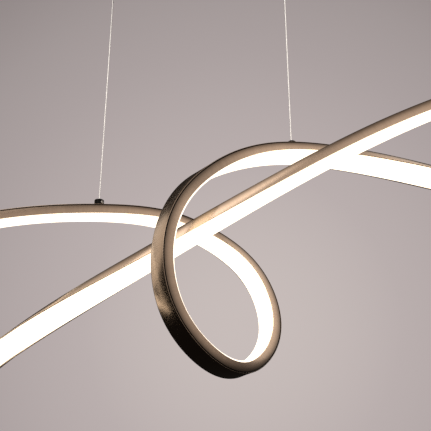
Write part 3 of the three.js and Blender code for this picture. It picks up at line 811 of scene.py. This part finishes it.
def radial(degrees):
    """Turns a shape along z to point out of the canopy at an angle, at the cover screws' level."""
    return about_z(degrees) @ moved(0, 0, SCREW_LEVEL) @ Matrix.Rotation(math.pi / 2, 4, "Y")


def about_z(degrees):
    """A turn about z."""
    return Matrix.Rotation(math.radians(degrees), 4, "Z")


def corners_of(node):
    """The lowest and highest corner of a CAD node, in millimetres."""
    return [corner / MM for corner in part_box(node)]


def wire_lines():
    """The middle of each wire, in millimetres."""
    return {side: sum(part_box(f"wire_{side}"), Vector()) / 2 / MM for side in ("left", "right")}


def add_cover():
    """Spun cover with a rounded corner, a hole for each gripper and a slot for each screw."""
    r, skin, bottom = COVER_RADIUS, COVER_SKIN, COVER_BOTTOM
    centre = (r - COVER_CORNER, bottom + COVER_CORNER)
    rings = (0, 20, 60, 100)
    profile = [
        *((ring, bottom) for ring in rings),
        *arc(centre, COVER_CORNER, -90, 0, 14),
        (r, COVER_RIM - 0.3), (r - 0.3, COVER_RIM), (r - skin + 0.3, COVER_RIM), (r - skin, COVER_RIM - 0.3),
        *arc(centre, COVER_CORNER - skin, 0, -90, 10),
        *((ring, bottom + skin) for ring in reversed(rings)),
    ]
    cutters = [rod(COVER_HOLE, bottom - 5, bottom + 5, 64, line.xy) for line in wire_lines().values()]
    slot = block((r - 5, -SCREW_SLOT_HALF, SCREW_LEVEL), (r + 5, SCREW_SLOT_HALF, 5))
    for degrees in SCREW_ANGLES:
        cutters.append(placed(slot, about_z(degrees)))
        cutters.append(placed(rod(SCREW_SLOT_HALF, r - 5, r + 5), radial(degrees)))
    add_piece(
        "canopy_shell", carved(turned(profile, 180), cutters), [bronze_spun], "cover",
        "canopy_cover", sharp=25)


def knurled(radius, low, high, teeth, depth, sides_per_tooth=4):
    """A cylinder along z with teeth round it and chamfered ends."""
    count = teeth * sides_per_tooth
    rows = [(low, 0.6), (low + 0.5, 0), (high - 0.7, 0), (high, 0.7)]
    points = [(0, 0, low * MM)]
    for z, inset in rows:
        for k in range(count):
            tooth = 0.5 + 0.5 * math.cos(2 * math.pi * teeth * k / count)
            r = (radius - inset - depth * (1 - tooth)) * MM
            points.append((*polar(r, 2 * math.pi * k / count), z * MM))
    points.append((0, 0, high * MM))
    faces = []
    for k in range(count):
        n = (k + 1) % count
        faces.append([0, 1 + n, 1 + k])
        for row in range(len(rows) - 1):
            start = 1 + row * count
            faces.append([start + k, start + n, start + n + count, start + k + count])
        last = 1 + (len(rows) - 1) * count
        faces.append([last + k, last + n, len(points) - 1])
    return points, faces, [[(0, 0)] * len(face) for face in faces]


def threaded(radius, low, high, pitch, sides=20):
    """A rod along z with thread rings."""
    profile = [(0, low), (radius - 0.4, low)]
    z = low + pitch / 2
    while z < high - pitch:
        profile += [(radius, z), (radius - 0.22, z + pitch / 2)]
        z += pitch
    profile += [(radius - 0.22, high), (0, high)]
    return turned(profile, sides)


def add_cover_screws():
    """Knurled thumb screws with a driver slot."""
    low, high = COVER_RADIUS + 0.3, COVER_RADIUS + 6.0
    slot = block((-6, -0.45, high - 1.1), (6, 0.45, high + 1))
    head = carved(knurled(SCREW_HEAD_RADIUS, low, high, 30, 0.25), [slot])
    screw = joined(head, threaded(SCREW_SHANK_RADIUS, COVER_RADIUS - COVER_SKIN - 12, low + 0.2, 0.7))
    for degrees in SCREW_ANGLES:
        add_part(f"thumb_screw_{degrees}", f"cover_screw_{degrees}", STEEL, screw, radial(degrees))


def coil_line():
    """The spring's wire, with its first and last turn almost flat."""
    line = []
    steps = SPRING_TURNS * POINTS_PER_TURN
    height = SPRING_HIGH - SPRING_LOW - 2 * SPRING_INSET
    for i in range(steps + 1):
        share = min(max((i / steps - SPRING_CLOSED) / (1 - 2 * SPRING_CLOSED), 0), 1)
        turn = 2 * math.pi * i / POINTS_PER_TURN
        line.append((*polar(SPRING_RADIUS, turn), SPRING_LOW + SPRING_INSET + height * share))
    return line


def add_grippers():
    """Spring-loaded wire grippers: insulating washer, shouldered body, nozzle, spring."""
    washer = turned([(3.3, -3.8), (8.8, -3.8), (9, -3.6), (9, -2.5), (8.8, -2.3), (3.3, -2.3)], 56)
    body = turned(
        [(3.3, -4.1), (8.7, -4.1), (9, -4.4), (9, -6.2), (8.7, -6.5), (6.2, -6.5), (6, -6.7),
         (6, -17), (5.7, -17.3), (5.7, -18.7), (6, -19), (6, -33.5), (5.5, -34.8), (4.6, -36),
         (3.3, -36), (3.1, -35.8), (3.1, -33), (4.3, -33), (4.3, -14), (3.3, -14)], 64)
    nozzle = turned(
        [(2, -43.6), (2.3, -44), (2.4, -44), (2.8, -43.4), (2.8, -41.9), (2.55, -41.7), (2.55, -41.2),
         (2.8, -41), (2.8, -32.7), (4, -32.7), (4, -30.7), (2, -30.7)], 48)
    coil = round_bar(coil_line(), SPRING_WIRE, 10)
    for side, line in wire_lines().items():
        name, cad = f"gripper_{side}", f"adjuster_{side}"
        put = moved(line.x, line.y)
        add_part(f"{name}_washer", f"{cad}_insulator", NYLON, washer, put)
        add_part(f"{name}_body", f"{cad}_body", STEEL, body, put)
        add_part(f"{name}_nozzle", f"{cad}_plunger", STEEL, nozzle, put, f"plunger_{side}")
        spring = add_part(f"{name}_spring", f"{cad}_spring", SPRING_STEEL, coil, put)
        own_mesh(spring)


def add_plate():
    """Ceiling plate with a pressed rim, threaded studs, screw tabs and its holes."""
    r, thick = PLATE_RADIUS, PLATE_THICK
    disc = turned(
        [(0, -thick), (r - 3, -thick), (r - 0.4, -thick + 0.05), (r, -thick + 0.4), (r, -0.4),
         (r - 0.4, 0), (0, 0)], 144)
    x, y = CEILING_HOLE_AT
    cutters = [rod(GROMMET_HOLE, -5, 5, 48, GROMMET_AT)]
    cutters += [rod(CEILING_HOLE, -5, 5, 32, (sign * x, sign * y)) for sign in (-1, 1)]
    shapes = [carved(disc, cutters)]
    outer = COVER_RADIUS - COVER_SKIN - 0.9
    inner = outer - TAB_THICK
    section = rounded(
        [(r - 2, -thick), (inner, -thick, 0.6), (inner, TAB_LOW), (outer, TAB_LOW), (outer, 0, 1.6),
         (r - 2, 0)], 0.3)
    ends = np.array([(0, -TAB_HALF, 0), (0, TAB_HALF, 0)]) * MM
    x_way, z_way = np.array([(1, 0, 0)] * 2), np.array([(0, 0, 1)] * 2)
    tab = swept(np.array(section) * MM, ends, x_way, z_way, [0, 2 * TAB_HALF * MM])
    tab = carved(tab, [placed(rod(TAB_HOLE, r, COVER_RADIUS), radial(0))])
    shapes += [placed(tab, about_z(degrees)) for degrees in SCREW_ANGLES]
    stud = threaded(STUD_RADIUS, STUD_LOW, -thick + 0.5, 1.0, 32)
    shapes += [placed(stud, moved(line.x, line.y)) for line in wire_lines().values()]
    add_part("ceiling_disc", "ceiling_plate", (zinc, "zinc_steel"), joined(*shapes))
    grommet = turned(
        [(4, -0.7), (4.3, -0.4), (8.4, -0.4), (8.7, -0.7), (8.7, -2.3), (10.7, -2.3), (11, -2.6), (11, -4.1),
         (10.6, -4.5), (5, -4.5), (4.3, -4.1), (4, -3.5)], 56)
    rubber = (black_cover, "black_insulation")
    add_part("cable_grommet", "mains_grommet", rubber, grommet, moved(*GROMMET_AT))


def add_driver():
    """Driver case with two ears, its slotted lid, its two screws and its board."""
    low, high = corners_of("driver_lid")
    case_low, case_high = corners_of("driver_case")
    x, y, top, wall = high.x, high.y, case_high.z, DRIVER_WALL
    shell = block((-x, -y, case_low.z), (x, y, top), 1.2, 3)
    hollow = block((-x + wall, -y + wall, case_low.z - wall), (x - wall, y - wall, top - wall), 0.6)
    shapes = [carved(shell, [hollow])]
    for sign in (-1, 1):
        middle = sign * (x + EAR_OUT)
        ear = block(
            (middle - EAR_LENGTH_HALF, -EAR_WIDTH_HALF, top - EAR_THICK),
            (middle + EAR_LENGTH_HALF, EAR_WIDTH_HALF, top), 0.8, 3)
        shapes.append(carved(ear, [rod(EAR_HOLE, top - 5, top + 2, 24, (middle, 0))]))
    add_part("driver_shell", "driver_case", WHITE, joined(*shapes))

    lid = block((-x, -y, low.z), (x, y, high.z), 0.5)
    vents = [block((start, -6, low.z - 1), (start + 1.6, 6, high.z + 1)) for start in np.arange(-14, 15, 4)]
    add_part("driver_bottom", "driver_lid", WHITE, carved(lid, vents))
    add_driver_board()

    head_low = top - EAR_THICK - 0.3 - 2
    head = turned(
        [(0, head_low), (1.8, head_low), (2.9, head_low + 0.4), (3.4, head_low + 1.2), (3.4, head_low + 2),
         (1.5, head_low + 2), (1.5, top - 0.2), (0, top - 0.2)], 40)
    cross = [block((-a, -b, head_low - 1), (a, b, head_low + 1.1)) for a, b in ((2, 0.4), (0.4, 2))]
    head = carved(head, cross)
    for number, sign in ((1, -1), (2, 1)):
        put = moved(sign * (x + EAR_OUT), 0)
        add_part(f"driver_fixing_{number}", f"driver_screw_{number}", STEEL, head, put)


def add_driver_board():
    """The board with a transformer, a coil, a bridge, a round capacitor and a row of small chips."""
    under = -12.05
    parts = [
        (block((-55, -18, -12), (55, 18, -10.4), 0.1), 0),
        (block((-48, -12, -20), (-30, 12, under), 0.3), 1),
        (block((-20, -14, -19), (4, 10, under), 0.3), 2),
        (block((20, -10, -17), (30, 10, under), 0.3), 1),
    ]
    can = turned(
        [(0, -21), (5.4, -21), (6, -20.5), (6, -13.6), (5.7, -13.2), (5.7, -12.8), (6, -12.4),
         (0, under)], 40)
    parts.append((placed(can, moved(42, 6)), 1))
    for k in range(6):
        start = 8 + 2.2 * k
        parts.append((block((start, -15, -12.9), (start + 1.4, -13.2, under), 0.1), 1))
    kinds = [kind for shape, kind in parts for _ in shape[1]]
    add_piece(
        "driver_electronics", joined(*(shape for shape, _ in parts)), [green_board, black_part, copper],
        "canopy", "driver_board", kinds=kinds)


def add_terminals():
    """Three-way screw terminal: three rounded barrels on a common bar, with brass screws."""
    low, high = corners_of("terminal_block")
    centre = (low + high) / 2
    shapes = [block((low.x, low.y + 2, high.z - 5), (high.x, high.y - 2, high.z), 0.6)]
    foot = low.z + 0.5
    screw = turned([(0, foot), (1.9, foot), (2.2, foot + 0.3), (2.2, foot + 4), (0, foot + 4)], 32)
    screw = carved(screw, [block((-3, -0.35, foot - 1), (3, 0.35, foot + 1))])
    for way in (-1, 0, 1):
        x = centre.x + TERMINAL_PITCH * way
        barrel = block((x - 4.6, low.y, low.z), (x + 4.6, high.y, high.z - 1), 1.2, 3)
        wire_way = block((x - 2.5, low.y - 1, -11), (x + 2.5, high.y + 1, -6), 1.2, 3)
        shapes.append(carved(barrel, [rod(2.6, low.z - 1, -10, 32, (x, centre.y)), wire_way]))
        put = moved(x, centre.y) @ Matrix.Rotation(0.5 * way, 4, "Z")
        add_part(f"clamp_screw_{way + 2}", f"terminal_screw_{way + 2}", (brass, "brass"), screw, put)
    add_part("terminal_body", "terminal_block", WHITE, joined(*shapes))


def add_leads():
    """Insulated leads from the terminal block to the driver and on to the two grippers."""
    side, end, level = DRIVER_SIDE, DRIVER_END, LEAD_LEVEL
    front = TERMINAL_AT[1] - TERMINAL_HALF
    for name, way in (("live", 1), ("neutral", -1)):
        x = TERMINAL_AT[0] + TERMINAL_PITCH * way
        route = [
            (x, front - LEAD_GAP, -8.5), (x, front - 8, -8.5), (x + 4, side + 16, level),
            (x + 6, side + 8, level), (x + 6, side + LEAD_GAP, level)]
        add_lead(f"lead_{name}", f"mains_lead_{name}", (white_cover, "white_insulation"), route)
    for (name, line), way in zip(wire_lines().items(), (-1, 1)):
        x, y = way * (end - 8), -way * side
        route = [
            (x, y - way * LEAD_GAP, level), (x, y - way * 8, level), (way * (end + 6), y - way * 14, -7),
            (line.x - way * (GRIPPER_REACH + 8), line.y, GRIPPER_LEAD_LEVEL),
            (line.x - way * (GRIPPER_REACH + LEAD_GAP), line.y, GRIPPER_LEAD_LEVEL)]
        add_lead(f"lead_{name}", f"low_voltage_lead_{name}", (black_cover, "black_insulation"), route)


def add_lead(name, node, finish, route):
    add_part(name, node, finish, round_bar(smooth_line(route, 10), LEAD_RADIUS, 20))


def finish_joiners():
    """The joiners inside the channel keep their CAD shape and get a better material."""
    for name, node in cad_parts.items():
        if name.startswith("joiner_"):
            node.data.materials.clear()
            node.data.materials.append(zinc)


# ---- Studio ----


def compass(azimuth, elevation):
    """A direction: azimuth 0 is towards the front (-Y) and 90 towards +X, in degrees."""
    turn, rise = math.radians(azimuth), math.radians(elevation)
    return Vector((math.sin(turn) * math.cos(rise), -math.cos(turn) * math.cos(rise), math.sin(rise)))


FLOOR_LEVEL, FLOOR_REACH = -0.98, 14.0
LIGHT_CENTRE = Vector((0, 0, -0.45))
LAMP_DISTANCE = 2.4
LAMPS = [  # name, azimuth, elevation, radius, radiance, colour
    ("key", -35, 40, 0.75, 2.2, (1.0, 0.9, 0.8)),
    ("high", 108, 48, 1.0, 0.54, (1.0, 0.88, 0.76)),
    ("rim", -127, 25, 0.8, 1.2, (1.0, 0.83, 0.66)),
    ("side", -95, 58, 0.9, 0.5, (1.0, 0.88, 0.74)),
]
# (cosine of the angle from a direction, colour there)
# Painted light: the backdrop, seen only by the camera, has a soft pool of light round BACKDROP_AIM.
BACKDROP_AIM = Vector((0.03, 0.94, 0.35)).normalized()
BACKDROP = [
    (0.90, (0.285, 0.247, 0.244)), (0.93, (0.36, 0.314, 0.311)), (0.955, (0.41, 0.357, 0.354)),
    (0.985, (0.49, 0.428, 0.422)), (1.0, (0.575, 0.508, 0.49))]
ROOM_AIM = compass(25, 45)
ROOM = [
    (0.02, (0.012, 0.01, 0.009)), (0.18, (0.1, 0.085, 0.075)), (0.36, (0.5, 0.43, 0.38)),
    (0.65, (0.6, 0.52, 0.46)), (0.8, (0.66, 0.575, 0.51)), (1.0, (0.98, 0.84, 0.73))]


def add_floor():
    """A plain pale floor, left out of reflections."""
    mesh = bpy.data.meshes.new("floor")
    signs = ((-1, -1), (1, -1), (1, 1), (-1, 1))
    corners = [(x * FLOOR_REACH, y * FLOOR_REACH, FLOOR_LEVEL) for x, y in signs]
    mesh.from_pydata(corners, [], [(0, 1, 2, 3)])
    surface = Surface("floor")
    clouds = surface.noise((2.5, 2.5, 1), 3)
    surface.tint(clouds, (0.56, 0.55, 0.56), (0.59, 0.58, 0.59))
    surface.roughness(clouds, 0.75, 0.85)
    mesh.materials.append(surface.material)
    floor = add_object("floor", mesh)
    floor.visible_glossy = False


def add_world():
    """A grey-mauve backdrop with a painted soft pool of light, seen only by the camera, and a softly lit
    room in front of it.
    """
    world = bpy.data.worlds.new("room")
    world.use_nodes = True
    bpy.context.scene.world = world
    room = Nodes(world.node_tree)
    direction = room.node("TexCoord").outputs["Generated"]

    def glow(aim, stops):
        """A background whose colour depends on the angle from a direction."""
        dot = room.node("VectorMath", {0: direction, 1: aim}, operation="DOT_PRODUCT")
        along = room.span(dot.outputs["Value"], 0, 1, -1, 1)
        colour = room.ramp(along, [((cosine + 1) / 2, colour) for cosine, colour in stops])
        return room.node("Background", {"Color": colour}).outputs["Background"]

    seen = room.node("LightPath").outputs["Is Camera Ray"]
    around, behind = glow(ROOM_AIM, ROOM), glow(BACKDROP_AIM, BACKDROP)
    mix = room.node("MixShader", {"Fac": seen, 1: around, 2: behind})
    room.link(mix.outputs["Shader"], room.tree.nodes["World Output"].inputs["Surface"])


def add_lamps():
    """Round soft lamps that shine on the ribbon."""
    for name, azimuth, elevation, radius, radiance, colour in LAMPS:
        aim = compass(azimuth, elevation)
        light = bpy.data.lights.new(name, "AREA")
        light.shape = "DISK"
        light.size = 2 * radius
        light.energy = math.pi**2 * radius**2 * radiance
        light.color = colour
        lamp = add_object(name, light)
        lamp.location = LIGHT_CENTRE + aim * LAMP_DISTANCE
        lamp.rotation_euler = (-aim).to_track_quat("-Z", "Y").to_euler()


add_camera()
add_wires()
add_channels()
add_diffusers()
add_led_strips()
add_anchors()
add_cover()
add_cover_screws()
add_grippers()
add_plate()
add_driver()
add_terminals()
add_leads()
finish_joiners()
add_floor()
add_world()
add_lamps()
bpy.context.scene.view_settings.view_transform = "Standard"
